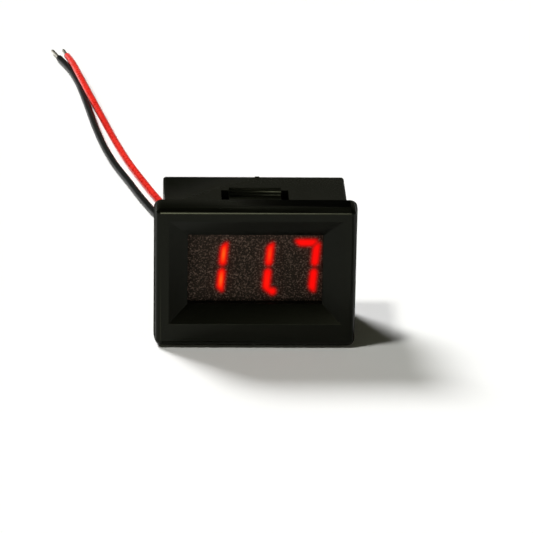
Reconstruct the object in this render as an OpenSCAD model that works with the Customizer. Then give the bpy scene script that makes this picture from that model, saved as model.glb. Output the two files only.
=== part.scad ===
// Digital panel voltmeter: snap-in housing, three-digit LED display, circuit board and two leads.
// X runs to the right, Y runs back through the panel and Z is up.
// The origin is the middle of the panel cut-out, in the plane of the panel's front face.

/* [Digits] */
// Distance from one digit to the next
digit_pitch = 7.5; // [7:0.1:9]
// Width of a digit over its strokes
digit_w = 4.6; // [4:0.1:5]
// Height of a digit over its strokes
digit_h = 9.6; // [8.5:0.1:11]
// Width of a stroke
stroke_w = 1.05; // [0.7:0.05:1.3]
// Gap between neighbouring strokes
stroke_gap = 0.2; // [0.1:0.05:0.3]
// How far the pointed ends of the outer strokes are cut back
stroke_blunt = 0.25; // [0.2:0.05:0.4]
// Lean of the digits to the right, in degrees
digit_lean = 5; // [0:1:10]
// Diameter of a decimal point
point_d = 1.2; // [0.8:0.1:1.3]

/* [Display] */
// Plastic left and right of the row of digits, both sides together
shell_side = 0.5; // [0.3:0.1:2]
// Plastic above and below the digits, each
shell_rim = 2.2; // [1.8:0.1:3]
// Depth of the display's reflector shell
shell_depth = 6.8; // [5:0.1:8]
// Thickness of the display's own carrier board
base_t = 1; // [0.6:0.1:1.6]
// How far the row of digits sits to the right of the window's middle
digits_right = 0.4; // [0:0.1:0.6]
// How far the digits sit below the window's middle
digits_drop = 0.1; // [0:0.05:0.3]

/* [Window] */
// Overlap of the window frame on the display's left and right ends
lap_side = 0.5; // [0.3:0.1:1]
// Overlap of the window frame on the display's top and bottom
lap_rim = 1; // [0.6:0.1:1.5]
// Width of the sloping faces at the window's left and right, seen from the front
slope_side = 3.05; // [2:0.05:4]
// Height of the sloping faces at the window's top and bottom, seen from the front
slope_rim = 2.9; // [2:0.05:4]
// Depth of the sloping faces
slope_depth = 1.7; // [1:0.1:2.2]
// Straight edge between the slopes and the film
ledge_depth = 1.5; // [0.8:0.1:1.9]
// Thickness of the tinted film
film_t = 0.4; // [0.2:0.1:0.6]
// How far the film reaches past the window on each side
film_lap = 1; // [0.6:0.1:1.2]

/* [Bezel] */
// Width of the bezel beside the recess
rim_side = 2.45; // [2:0.05:4]
// Height of the bezel above the recess
rim_top = 2.35; // [1.8:0.05:4]
// Height of the bezel below the recess
rim_bottom = 4.15; // [2.5:0.05:6]
// Thickness of the bezel in front of the panel
bezel_t = 4; // [3.7:0.1:6]
// Radius of the bezel's four corners
bezel_corner_r = 1.2; // [0.8:0.1:2]
// Radius of the front edges
bezel_edge_r = 0.9; // [0.2:0.1:1]
// Radius of the slight crown on the bezel's outer sides
bezel_crown_r = 20; // [9:0.5:40]

/* [Body] */
// How far the bezel laps over the panel at the left and right
lip_side = 1.55; // [1:0.05:3]
// How far the bezel laps over the panel at the top and bottom
lip_rim = 1; // [0.8:0.05:2]
// Wall of the body
wall = 1.2; // [0.9:0.1:1.6]
// Radius of the body's long edges
body_corner_r = 0.5; // [0.2:0.1:1]
// Space behind the circuit board for its components
back_room = 3.5; // [3:0.1:6]
// Width of the moulding stub on the body's rear edge
stub_w = 0.7; // [0.5:0.1:1.6]
// Height of that stub above the body
stub_h = 0.12; // [0.08:0.02:0.3]

/* [Snap tongues] */
// Width of the opening around a tongue
slot_w = 11; // [10:0.1:13]
// Distance from the panel face to the front end of the opening
slot_front = 0.9; // [0.5:0.1:1.5]
// Distance from the panel face to the rear end of the opening
slot_rear = 7.25; // [6.5:0.05:8]
// Width of a tongue
tongue_w = 8.5; // [6:0.1:9]
// Gap behind the free end of a tongue
tongue_gap = 0.35; // [0.2:0.05:0.6]
// Height of the tongue's crest above the body
crest_h = 0.85; // [0.6:0.05:1]
// Length of the flat crest
crest_len = 0.7; // [0.4:0.1:1]
// Thickness of the tongue's free end
tip_t = 1.5; // [1.2:0.1:1.7]
// Number of steps that grip the panel
tooth_count = 3; // [2:1:3]
// Length of one step
tooth_pitch = 0.77; // [0.6:0.01:0.9]
// Height of one step
tooth_rise = 0.33; // [0.2:0.01:0.36]

/* [Rear cover] */
// Thickness of the rear cover
cover_t = 1.2; // [0.8:0.1:2]
// How far the cover laps onto the end of the body's wall, in a rebate
cover_lap = 0.5; // [0.3:0.1:0.6]
// Chamfer around the outside of the cover
cover_chamfer = 0.3; // [0.1:0.05:0.5]
// Length of the lip that plugs into the body
lip_len = 1.6; // [1.4:0.1:2]
// Thickness of that lip
lip_t = 0.9; // [0.6:0.1:1.2]
// Radius of the snap ridges on the lip
ridge_r = 0.35; // [0.2:0.05:0.4]
// Length of the snap ridges
ridge_len = 6; // [3:0.5:10]
// Diameter of the posts that hold the circuit board
post_d = 1.8; // [1.2:0.1:2]

/* [Circuit board] */
// Thickness of the circuit board
board_t = 1.2; // [0.8:0.1:1.6]
// Gap between the display and the circuit board
board_gap = 0.4; // [0.2:0.1:1]
// Clearance at the left and right ends of the circuit board
board_side = 0.5; // [0.3:0.1:1]
// Clearance above and below the circuit board, for the tongues to bend in
board_rim = 1.4; // [1.2:0.1:1.6]
// Width of a display pin
pin_w = 0.5; // [0.4:0.05:0.6]
// Spacing of the display pins along a row
pin_pitch = 2.54; // [2.4:0.02:2.6]
// Spacing of the two rows of display pins
pin_rows = 10.16; // [9.6:0.02:10.6]
// Length of the pins behind the circuit board
pin_tail = 1; // [0.6:0.1:1.4]

/* [Leads] */
// Outer diameter of a lead
lead_d = 1.3; // [1:0.05:1.4]
// Diameter of the tinned strand
strand_d = 0.7; // [0.4:0.05:0.8]
// Distance from the red lead to the black one at the board
lead_pitch = 2.5; // [2.2:0.1:3]
// Stripped length at the board
strip_len = 2; // [1.2:0.1:2.4]
// Stripped and tinned length at the free end
tinned_len = 5; // [3:0.5:8]

/* [Fits] */
// Clearance between the cover's lip and the body
fit_gap = 0.1; // [0.05:0.01:0.15]
// Clearance around the film and the display
seat_gap = 0.1; // [0.05:0.01:0.2]
// Clearance between a stroke's resin and its cell
resin_gap = 0.02; // [0.01:0.01:0.05]
// Clearance around a lead in the cover
lead_gap = 0.1; // [0.05:0.01:0.2]

/* [Hidden] */
$fn = 48;
over = 1; // how far a cutting shape runs past what it cuts

// Sizes across the front, from the digits outwards
digit_count = 3;
display_w = digit_count * digit_pitch + shell_side;
display_h = digit_h + 2 * shell_rim;
window_w = display_w - 2 * lap_side;
window_h = display_h - 2 * lap_rim;
film_w = window_w + 2 * film_lap;
film_h = window_h + 2 * film_lap;
bezel_w = window_w + 2 * slope_side + 2 * rim_side;
bezel_h = window_h + 2 * slope_rim + rim_top + rim_bottom;
body_w = bezel_w - 2 * lip_side;
body_h = bezel_h - 2 * lip_rim;
inner_w = body_w - 2 * wall;
inner_h = body_h - 2 * wall;
window_z = (rim_bottom - rim_top) / 2;

// The crowned side runs in by this much, and ends this far forward at the rounded front edge
crown_run = sqrt(pow(bezel_crown_r - bezel_edge_r, 2) - pow(bezel_t - bezel_edge_r, 2));
crown_end = (bezel_edge_r - bezel_t) * bezel_crown_r / (bezel_crown_r - bezel_edge_r);
corner_r = max(bezel_corner_r, bezel_crown_r - crown_run + 0.1);
digits_z = window_z - digits_drop;

// Places along the depth, from the front backwards
front_y = -bezel_t;
film_y = front_y + slope_depth + ledge_depth;
display_y = film_y + film_t;
base_y = display_y + shell_depth;
base_back = base_y + base_t;
board_y = base_back + board_gap;
board_back = board_y + board_t;
cover_y = board_back + back_room;
back_y = cover_y + cover_t;
lip_y = cover_y - lip_len;
plate_w = inner_w + 2 * (cover_lap - fit_gap);
plate_h = inner_h + 2 * (cover_lap - fit_gap);

// Circuit board and what is soldered to it
board_w = inner_w - 2 * board_side;
board_h = inner_h - 2 * board_rim;
solder_r = 0.7;
solder_h = 0.7;
hole_r = 0.48;
pins_per_row = 6;
post_x = board_w / 2 - 1.5;
post_z = board_h / 2 - 1.5;
chip_at = [0.4, 0.9];
regulator_at = [-board_w / 2 + 4.65, 1.5];
diode_at = [board_w / 2 - 4.45, 3.1];
tantalum_at = [board_w / 2 - 4.45, -0.9];
resistor_pitch = board_w / 12;
capacitor_spots = [for (p = [[-1.2, -3.4], [1.2, -3.4], [0, 3.1]]) regulator_at + p];
rib_t = 1;
rib_inset = 3;
lead_straight = 3;
red_at = [-0.5, -6.4];
black_at = [red_at[0] - lead_pitch, red_at[1]];
ground_z = -bezel_h / 2;
lead_z = ground_z + lead_d / 2;
lead_start = board_back + strip_len;

// Route of each lead: out of the cover, down to the surface the meter stands on and away behind it.
// Heights are measured up from a lead that lies on that surface.
red_route = [
    [-0.5, 20, 4.4], [-1.1, 24, 3], [-2.6, 28.5, 1.6], [-4.4, 33.5, 0.6], [-6.4, 39, 0.1],
    [-9, 46, 0], [-12, 54.5, 0], [-15.4, 64.5, 0], [-18.2, 74.5, 0], [-20.8, 84.5, 0],
    [-23, 94.5, 0], [-25, 104.5, 0.1], [-26.9, 114.5, 0.5], [-28.7, 124.5, 1.1],
    [-30.4, 133, 1.35], [-32, 141, 1.15], [-33.4, 148, 0.5]
];
black_route = [
    [-3, 20, 4.4], [-3.6, 24, 3], [-5, 28.5, 1.6], [-6.9, 33.5, 0.6], [-9.1, 39, 0.1],
    [-11.8, 46, 0], [-15, 54.5, 0], [-18.1, 64.5, 0], [-20.7, 74.5, 0], [-23.4, 84.5, 0],
    [-25.6, 94.5, 0], [-27.1, 104.5, 0], [-28.4, 114.5, 0], [-29.6, 124.5, 0],
    [-31, 133, 0], [-33, 141, 0], [-35.4, 148, 0]
];
lead_sides = 8;
rings_per_span = 2;

// ---- shapes and places that several pieces share ----

// A plate that stands across the depth: its outline is drawn as seen from the front
module across(y, t) translate([0, y + t, 0]) rotate([90, 0, 0]) linear_extrude(t) children();

// A bar along X whose outline is drawn as depth and height
module along_x(length) rotate([90, 0, 90]) linear_extrude(length, center = true) children();

module box_outline(w, h) square([w, h], center = true);

module round_outline(w, h, r) {
    box_outline(w - 2 * r, h);
    box_outline(w, h - 2 * r);
    for (x = [-1, 1], z = [-1, 1]) translate([x * (w / 2 - r), z * (h / 2 - r)]) circle(r);
}

// Section through the bezel: crowned sides that run into rounded front edges
module bezel_section(span) {
    crown_x = span / 2 - bezel_crown_r;
    edge_x = crown_x + crown_run;
    translate([-edge_x, front_y]) square([2 * edge_x, bezel_t]);
    for (side = [-1, 1]) translate([side * edge_x, front_y + bezel_edge_r]) circle(bezel_edge_r);
    intersection() {
        translate([-span / 2, crown_end]) square([span, -crown_end]);
        for_both_sides(span, crown_x);
    }
}

// One side of that section at a corner, from the corner's own axis outwards
module corner_section() intersection() {
    translate([0, front_y]) square([corner_r, bezel_t]);
    union() {
        translate([-corner_r, front_y]) square([2 * corner_r - bezel_crown_r + crown_run, bezel_t]);
        translate([corner_r - bezel_crown_r + crown_run, front_y + bezel_edge_r]) circle(bezel_edge_r);
        intersection() {
            translate([-corner_r, crown_end]) square([2 * corner_r, -crown_end]);
            translate([corner_r - bezel_crown_r, 0]) circle(bezel_crown_r, $fn = 180);
        }
    }
}

// The bezel's lower right corner: a quarter turn of that section
module bezel_corner() translate([bezel_w / 2 - corner_r, 0, corner_r - bezel_h / 2])
    rotate([-90, 0, 0]) rotate_extrude(angle = 90) corner_section();

module for_both_sides(span, crown_x) intersection() {
    crowned_side(span, crown_x);
    mirror([1, 0]) crowned_side(span, crown_x);
}

module crowned_side(span, crown_x) {
    translate([crown_x, 0]) circle(bezel_crown_r, $fn = 180);
    translate([-span / 2, -bezel_t]) square([span / 2 + crown_x, bezel_t]);
}

// Section through the recess: sloping faces down to a straight ledge, open at the front
module recess_section(span, run) {
    flare = run * (1 + over / slope_depth);
    slope_end = front_y + slope_depth;
    polygon([
        [-span / 2 - flare, front_y - over], [span / 2 + flare, front_y - over],
        [span / 2, slope_end], [span / 2, display_y + over],
        [-span / 2, display_y + over], [-span / 2, slope_end]
    ]);
}

// Depth section of one snap tongue: height is measured from the body's outer face
tongue_end = slot_rear - tongue_gap;
crest_front = tongue_end - crest_len;
tongue_steps = [
    for (i = [0 : tooth_count - 1]) each [
        [crest_front - i * tooth_pitch, crest_h - i * tooth_rise],
        [crest_front - i * tooth_pitch, crest_h - (i + 1) * tooth_rise]
    ]
];
tongue_section = concat(
    [
        [slot_front - wall / 2, -wall], [slot_front, -wall],
        [tongue_end, crest_h - tip_t], [tongue_end, crest_h - 0.3], [tongue_end - 0.3, crest_h]
    ],
    tongue_steps,
    [[crest_front - tooth_count * tooth_pitch, crest_h - tooth_count * tooth_rise],
     [slot_front, 0], [slot_front - wall / 2, 0]]
);

// ---- digits ----

// Outlines of the seven strokes of a digit, upright, about its middle
half_w = digit_w / 2;
half_h = digit_h / 2;
point_x = half_w + 0.55;
point_z = -half_h + point_d / 2;
function flip_x(p) = [-p[0], p[1]];
function flip_z(p) = [p[0], -p[1]];
function lean(p) = [p[0] + p[1] * tan(digit_lean), p[1]];
stroke_top = [
    [-half_w + stroke_gap + stroke_blunt, half_h - stroke_blunt],
    [-half_w + stroke_gap + stroke_blunt, half_h], [half_w - stroke_gap - stroke_blunt, half_h],
    [half_w - stroke_gap - stroke_blunt, half_h - stroke_blunt],
    [half_w - stroke_gap - stroke_w, half_h - stroke_w],
    [-half_w + stroke_gap + stroke_w, half_h - stroke_w]
];
stroke_side = [
    [half_w - stroke_blunt, half_h - stroke_gap - stroke_blunt],
    [half_w, half_h - stroke_gap - stroke_blunt], [half_w, stroke_gap / 2 + stroke_w * 0.45],
    [half_w - stroke_w / 2, stroke_gap / 2], [half_w - stroke_w, stroke_gap / 2 + stroke_w * 0.45],
    [half_w - stroke_w, half_h - stroke_gap - stroke_w]
];
stroke_middle = [
    for (side = [-1, 1]) each [
        [side * (half_w - stroke_w - stroke_gap), -side * stroke_w / 2],
        [side * (half_w - stroke_w / 2 - stroke_gap), 0],
        [side * (half_w - stroke_w - stroke_gap), side * stroke_w / 2]
    ]
];
// In the order a to g: top, upper right, lower right, bottom, lower left, upper left, middle
strokes = [
    stroke_top, stroke_side, [for (p = stroke_side) flip_z(p)], [for (p = stroke_top) flip_z(p)],
    [for (p = stroke_side) flip_x(flip_z(p))], [for (p = stroke_side) flip_x(p)], stroke_middle
];
stroke_mid = [
    [0, half_h - stroke_w / 2], [half_w - stroke_w / 2, half_h / 2],
    [half_w - stroke_w / 2, -half_h / 2], [0, -half_h + stroke_w / 2],
    [-half_w + stroke_w / 2, -half_h / 2], [-half_w + stroke_w / 2, half_h / 2], [0, 0]
];
// Strokes that are alight in each digit, and its decimal point: 1, 1. and 7
lit = [[1, 2], [1, 2], [0, 1, 2]];
lit_point = [false, true, false];

function is_lit(digit, i) = len(search(i, lit[digit])) > 0;
function digit_x(digit) = digits_right + (digit - (digit_count - 1) / 2) * digit_pitch;

module at_digit(digit) translate([digit_x(digit), digits_z]) children();
module stroke_outline(i) polygon([for (p = strokes[i]) lean(p)]);
module point_outline(gap) translate(lean([point_x, point_z])) circle(point_d / 2 - gap, $fn = 24);

// The resin in the cells of one digit: alight or dark strokes, with a pocket over each chip
module digit_resin(digit, alight) {
    difference() {
        across(display_y, shell_depth) at_digit(digit) {
            for (i = [0 : 6]) if (is_lit(digit, i) == alight) shrunk_stroke(i);
            if (lit_point[digit] == alight) difference() {
                point_outline(resin_gap);
                if (is_lit(digit, 2) != alight) stroke_outline(2);
            }
        }
        digit_chips(digit, chip_w + 0.2, chip_h + 0.1);
    }
}

// A stroke drawn smaller by the resin's clearance, about its own middle
module shrunk_stroke(i) {
    mid = stroke_mid[i];
    size = i % 3 == 0 ? digit_w : digit_h / 2;
    ratio = 1 - 2 * resin_gap / stroke_w;
    polygon([for (p = strokes[i]) lean(mid + (p - mid) * ratio)]);
}

chip_w = 0.3;
chip_h = 0.2;
module digit_chips(digit, w, h) {
    for (mid = concat(stroke_mid, [[point_x, point_z]]))
        across(base_y - h, h + (w > chip_w ? over : 0)) at_digit(digit)
            translate(lean(mid)) box_outline(w, w);
}

// ---- enclosure ----

module housing() color("#1b1b1a") difference() {
    union() {
        linear_extrude(bezel_h - 2 * corner_r, center = true) bezel_section(bezel_w);
        along_x(bezel_w - 2 * corner_r) mirror([1, -1]) bezel_section(bezel_h);
        for (x = [0, 1], z = [0, 1]) mirror([x, 0, 0]) mirror([0, 0, z]) bezel_corner();
        difference() {
            across(-wall, back_y + wall) round_outline(body_w, body_h, body_corner_r);
            across(display_y, back_y - display_y + over) box_outline(inner_w, inner_h);
            across(cover_y, cover_t + over)
                box_outline(inner_w + 2 * cover_lap, inner_h + 2 * cover_lap);
            for (side = [-1, 1]) tongue_slot(side);
        }
        for (side = [-1, 1]) snap_tongue(side);
        display_ribs();
        translate([stub_w / 3, back_y - stub_w / 2, body_h / 2 - wall / 4])
            cube([stub_w, stub_w / 2, wall / 4 + stub_h]);
    }
    intersection() {
        linear_extrude(2 * bezel_h, center = true) recess_section(window_w, slope_side);
        translate([0, 0, window_z]) along_x(2 * bezel_w) mirror([1, -1])
            recess_section(window_h, slope_rim);
    }
    across(film_y, film_t + over) translate([0, window_z])
        box_outline(film_w + 2 * seat_gap, film_h + 2 * seat_gap);
    front_pocket();
    for (side = [-1, 1]) snap_ridge(side, ridge_r + fit_gap);
}

// The hollow of the body runs forward behind the bezel as far as the film's seat
module front_pocket() difference() {
    across(display_y, wall - display_y) box_outline(inner_w, inner_h);
    display_ribs();
}

module tongue_slot(side) scale([1, 1, side]) translate([0, 0, body_h / 2 - wall - over])
    linear_extrude(wall + 2 * over) translate([-slot_w / 2, slot_front])
        square([slot_w, slot_rear - slot_front]);

module snap_tongue(side) mirror([0, 0, side < 0 ? 1 : 0]) translate([0, 0, body_h / 2])
    along_x(tongue_w) polygon(tongue_section);

// Ribs inside the body that centre the display
module display_ribs() {
    for (side = [-1, 1], z = [rib_inset - display_h / 2, display_h / 2 - rib_inset]) {
        face = digits_right + side * (display_w / 2 + seat_gap);
        rib(min(face, side * (inner_w / 2 + wall / 2)), max(face, side * (inner_w / 2 + wall / 2)),
            digits_z + z - rib_t / 2, digits_z + z + rib_t / 2);
    }
    for (side = [-1, 1], x = [rib_inset - display_w / 2, display_w / 2 - rib_inset]) {
        face = digits_z + side * (display_h / 2 + seat_gap);
        rib(x - rib_t / 2, x + rib_t / 2,
            min(face, side * (inner_h / 2 + wall / 2)), max(face, side * (inner_h / 2 + wall / 2)));
    }
}

module rib(x0, x1, z0, z1) translate([x0, display_y - wall / 2, z0])
    cube([x1 - x0, shell_depth, z1 - z0]);

module snap_ridge(side, r) translate([side * (inner_w / 2 - fit_gap), cover_y - lip_len / 2, 0])
    cylinder(h = ridge_len + (r > ridge_r ? 2 * fit_gap : 0), r = r, center = true, $fn = 32);

module chamfer_section(span) polygon([
    [-span / 2, cover_y], [span / 2, cover_y], [span / 2, back_y - cover_chamfer],
    [span / 2 - cover_chamfer, back_y], [-span / 2 + cover_chamfer, back_y],
    [-span / 2, back_y - cover_chamfer]
]);

module rear_cover() color("#1d1d1c") difference() {
    union() {
        intersection() {
            linear_extrude(2 * body_h, center = true) chamfer_section(plate_w);
            along_x(2 * body_w) mirror([1, -1]) chamfer_section(plate_h);
        }
        across(lip_y, lip_len + cover_t / 2) difference() {
            box_outline(inner_w - 2 * fit_gap, inner_h - 2 * fit_gap);
            box_outline(inner_w - 2 * fit_gap - 2 * lip_t, inner_h - 2 * fit_gap - 2 * lip_t);
        }
        for (side = [-1, 1]) snap_ridge(side, ridge_r);
        for (x = [-post_x, post_x], z = [-post_z, post_z])
            across(board_back, back_room + cover_t / 2) translate([x, z]) circle(post_d / 2);
    }
    for (at = [red_at, black_at])
        across(cover_y - over, cover_t + 2 * over) translate(at) circle(lead_d / 2 + lead_gap);
}

module window_film() color("#3a2f28") across(film_y, film_t) translate([0, window_z])
    box_outline(film_w, film_h);

// ---- display ----

module display_shell() color("#26241f") difference() {
    across(display_y, shell_depth) translate([digits_right, digits_z])
        box_outline(display_w, display_h);
    for (digit = [0 : digit_count - 1])
        across(display_y - over, shell_depth + 2 * over) at_digit(digit) {
            for (i = [0 : 6]) stroke_outline(i);
            point_outline(0);
        }
}

module lit_segments() color("#ff1c08") for (digit = [0 : digit_count - 1]) digit_resin(digit, true);

module unlit_segments() color("#8d8478") for (digit = [0 : digit_count - 1])
    digit_resin(digit, false);

module display_base() color("#b9ad7e") across(base_y, base_t) translate([digits_right, digits_z])
    box_outline(display_w, display_h);

module led_chips() color("#c9a24a") for (digit = [0 : digit_count - 1])
    digit_chips(digit, chip_w, chip_h);

// Runs its children at each of the display's pins
module at_pins() for (row = [-1, 1], i = [0 : pins_per_row - 1])
    translate([digits_right + (i - (pins_per_row - 1) / 2) * pin_pitch, digits_z + row * pin_rows / 2])
        children();

module display_pins() color("#c8c8c4") across(base_back, board_back + pin_tail - base_back)
    at_pins() box_outline(pin_w, pin_w);

// ---- circuit board ----

module circuit_board() color("#1f5a36") difference() {
    across(board_y, board_t) round_outline(board_w, board_h, 0.8);
    across(board_y - over, board_t + 2 * over) {
        at_pins() circle(hole_r);
        for (at = [red_at, black_at]) translate(at) circle(hole_r);
    }
}

// A fillet of solder around a pin or strand that is kept free
module solder_fillet(at) translate([at[0], board_back, at[1]]) rotate([-90, 0, 0])
    cylinder(h = solder_h, r1 = solder_r, r2 = solder_r / 2, $fn = 24);

module pin_solder() color("#b8bcc0") difference() {
    for (row = [-1, 1], i = [0 : pins_per_row - 1])
        solder_fillet([digits_right + (i - (pins_per_row - 1) / 2) * pin_pitch,
                       digits_z + row * pin_rows / 2]);
    across(board_back - over, solder_h + 2 * over) at_pins()
        box_outline(pin_w + 2 * resin_gap, pin_w + 2 * resin_gap);
}

module wire_solder() color("#b8bcc0") for (at = [red_at, black_at]) difference() {
    solder_fillet(at);
    across(board_back - over, solder_h + 2 * over) translate(at) circle(strand_d / 2 + resin_gap);
}

module wire_cores() color("#c9c6bd") for (at = [red_at, black_at])
    across(board_y, board_t + strip_len) translate(at) circle(strand_d / 2);

// A moulded package on the back of the board; at is its middle, size is width, height, thickness
module package(at, size, lift) across(board_back + lift, size[2]) translate(at)
    box_outline(size[0], size[1]);

chip_size = [6.5, 4.4, 1];
chip_lift = 0.1;
lead_t = 0.2;
// Bent lead of a small package, from its side down to the board, drawn across its width
module bent_lead(at, side, w, reach, drop, foot) translate([at[0], board_back, at[1]])
    scale([1, 1, side]) translate([-w / 2, 0, 0]) rotate([90, 0, 90]) linear_extrude(w) polygon([
        [drop, 0], [drop + lead_t, 0], [drop + lead_t, reach - foot + lead_t],
        [lead_t, reach - foot + lead_t], [lead_t, reach], [0, reach],
        [0, reach - foot], [drop, reach - foot]
    ]);

module microcontroller() color("#20201f") package(chip_at, chip_size, chip_lift);

module microcontroller_leads() color("#c2c4c6") for (side = [-1, 1], i = [0 : 9])
    bent_lead([chip_at[0] + (i - 4.5) * 0.65, chip_at[1] + side * chip_size[1] / 2], side,
              0.24, 1, chip_lift + 0.4, 0.6);

regulator_size = [4.5, 2.5, 1.5];
module voltage_regulator() color("#20201f") package(regulator_at, regulator_size, lead_t);

module regulator_leads() color("#c2c4c6") {
    for (i = [-1 : 1]) package(regulator_at + [i * 1.5, -regulator_size[1] / 2 - 0.4],
                               [0.45, 0.8, lead_t], 0);
    package(regulator_at + [0, 0.3], [1.7, regulator_size[1] + 1.2, lead_t], 0);
}

diode_size = [4.3, 2.6, 2];
module protection_diode() color("#20201f") package(diode_at, diode_size, lead_t);

module diode_leads() color("#c2c4c6") for (side = [-1, 1]) {
    package(diode_at + [side * (diode_size[0] / 2 - 0.35), 0], [1.3, 1.5, lead_t], 0);
    package(diode_at + [side * (diode_size[0] / 2 + lead_t / 2), 0], [lead_t, 1.5, 1.2], 0);
}

resistor_size = [1.6, 0.8, 0.45];
segment_resistor_row = board_h / 2 - 0.85;
module segment_resistors() color("#2a2a2c") for (i = [0 : 7])
    package([(i - 3.5) * resistor_pitch, segment_resistor_row], resistor_size, 0);

module divider_resistors() color("#2a2a2c") for (i = [0 : 2])
    package([(i + 1.4) * resistor_pitch, 2 - board_h / 2], resistor_size, 0);

capacitor_size = [1.6, 0.8, 0.8];
module ceramic_capacitors() color("#b39268") for (at = capacitor_spots)
    package(at, capacitor_size, 0);

tantalum_size = [3.5, 2.8, 1.9];
module tantalum_capacitor() color("#c8962c") package(tantalum_at, tantalum_size, 0);

// ---- leads ----

// Points of a lead's middle line: straight out of the board, then along its route
function lead_line(at, route) = concat(
    [[at[0], lead_start, at[1]], [at[0], (lead_start + back_y + lead_straight) / 2, at[1]],
     [at[0], back_y + lead_straight, at[1]]],
    [for (p = route) [p[0], p[1], lead_z + p[2]]]
);

// A point on the smooth curve through four neighbouring points
function on_curve(a, b, c, d, t) =
    b + (c - a) * t / 2 + (2 * a - 5 * b + 4 * c - d) * t * t / 2
    + (3 * b - a - 3 * c + d) * t * t * t / 2;
function smooth_line(line) = let (last = len(line) - 1) concat(
    [
        for (i = [0 : last - 1], k = [0 : rings_per_span - 1])
            on_curve(line[max(i - 1, 0)], line[i], line[i + 1], line[min(i + 2, last)],
                     k / rings_per_span)
    ],
    [line[last]]
);
function unit(v) = v / norm(v);
function heading(line, i) = unit(line[min(i + 1, len(line) - 1)] - line[max(i - 1, 0)]);
function ring(line, i) = let (
    ahead = heading(line, i), beside = unit(cross(ahead, [0, 0, 1])), above = cross(beside, ahead)
) [
    for (k = [0 : lead_sides - 1]) let (turn = (k + 0.5) * 360 / lead_sides)
        line[i] + lead_d / 2 * (beside * cos(turn) + above * sin(turn))
];

module lead(line) {
    n = lead_sides;
    last = len(line) - 1;
    polyhedron(
        points = [for (i = [0 : last]) each ring(line, i)],
        faces = concat(
            [[for (k = [0 : n - 1]) k]],
            [for (i = [0 : last - 1], k = [0 : n - 1])
                [i * n + k, (i + 1) * n + k, (i + 1) * n + (k + 1) % n, i * n + (k + 1) % n]],
            [[for (k = [n - 1 : -1 : 0]) last * n + k]]
        )
    );
}

// The tinned strand that stands out of a lead's free end
module tinned_end(line) {
    last = len(line) - 1;
    ahead = heading(line, last);
    translate(line[last]) rotate([0, acos(ahead[2]), atan2(ahead[1], ahead[0])])
        cylinder(h = tinned_len, d = strand_d, $fn = 24);
}

red_line = smooth_line(lead_line(red_at, red_route));
black_line = smooth_line(lead_line(black_at, black_route));

module red_wire() color("#e8261a") lead(red_line);
module black_wire() color("#181818") lead(black_line);
module red_wire_end() color("#c9c6bd") tinned_end(red_line);
module black_wire_end() color("#c9c6bd") tinned_end(black_line);

housing();
rear_cover();
window_film();
display_shell();
lit_segments();
unlit_segments();
display_base();
led_chips();
display_pins();
circuit_board();
microcontroller();
microcontroller_leads();
voltage_regulator();
regulator_leads();
protection_diode();
diode_leads();
segment_resistors();
divider_resistors();
ceramic_capacitors();
tantalum_capacitor();
pin_solder();
wire_solder();
wire_cores();
red_wire();
black_wire();
red_wire_end();
black_wire_end();
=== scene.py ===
import math
import bmesh
import bpy
import numpy as np
from mathutils import Matrix, Vector


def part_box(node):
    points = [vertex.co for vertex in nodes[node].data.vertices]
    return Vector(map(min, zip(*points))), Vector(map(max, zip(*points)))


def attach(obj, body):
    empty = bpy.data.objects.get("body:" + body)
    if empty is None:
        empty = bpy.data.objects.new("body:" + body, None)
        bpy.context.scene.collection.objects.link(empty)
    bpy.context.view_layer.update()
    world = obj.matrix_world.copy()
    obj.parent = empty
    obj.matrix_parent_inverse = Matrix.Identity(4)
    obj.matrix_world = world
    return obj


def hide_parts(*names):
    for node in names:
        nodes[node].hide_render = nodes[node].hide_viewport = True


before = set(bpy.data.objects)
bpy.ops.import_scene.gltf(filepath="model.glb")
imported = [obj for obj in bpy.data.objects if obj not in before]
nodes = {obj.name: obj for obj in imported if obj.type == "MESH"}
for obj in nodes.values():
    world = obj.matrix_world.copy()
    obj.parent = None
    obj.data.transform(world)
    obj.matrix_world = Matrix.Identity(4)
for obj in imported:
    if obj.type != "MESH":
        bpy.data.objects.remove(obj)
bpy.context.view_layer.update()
mm = 0.001

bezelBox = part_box("housing")
groundZ = bezelBox[0].z
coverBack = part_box("rear_cover")[1].y

cameraFacts = {
    "yaw": 2.06,
    "elevation": 21.0,
    "roll": 0.94,
    "distance": 0.5964,
    "target": (0.00175, -0.004, groundZ + 0.01426),
    "lens": 248.8,
    "sensor": 36.0,
}


def makeCamera(facts):
    yaw, elevation, roll = (math.radians(facts[k]) for k in ("yaw", "elevation", "roll"))
    level = math.cos(elevation)
    ahead = Vector((level * math.sin(yaw), level * math.cos(yaw), -math.sin(elevation)))
    right = ahead.cross(Vector((0, 0, 1))).normalized()
    up = right.cross(ahead)
    turnedRight = right * math.cos(roll) + up * math.sin(roll)
    turnedUp = up * math.cos(roll) - right * math.sin(roll)
    data = bpy.data.cameras.new("meterCamera")
    data.lens = facts["lens"]
    data.sensor_width = facts["sensor"]
    data.clip_start, data.clip_end = 0.01, 20
    camera = bpy.data.objects.new("meterCamera", data)
    bpy.context.scene.collection.objects.link(camera)
    place = Matrix((turnedRight, turnedUp, -ahead)).transposed().to_4x4()
    place.translation = Vector(facts["target"]) - ahead * facts["distance"]
    camera.matrix_world = place
    bpy.context.scene.camera = camera


makeCamera(cameraFacts)
print("camera placed")


# An empty node material with its shader linked to the output
def newMaterial(name):
    material = bpy.data.materials.new(name)
    material.use_nodes = True
    tree = material.node_tree
    for n in list(tree.nodes):
        tree.nodes.remove(n)
    shader = tree.nodes.new("ShaderNodeBsdfPrincipled")
    output = tree.nodes.new("ShaderNodeOutputMaterial")
    tree.links.new(shader.outputs["BSDF"], output.inputs["Surface"])
    return material, tree, shader


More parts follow.
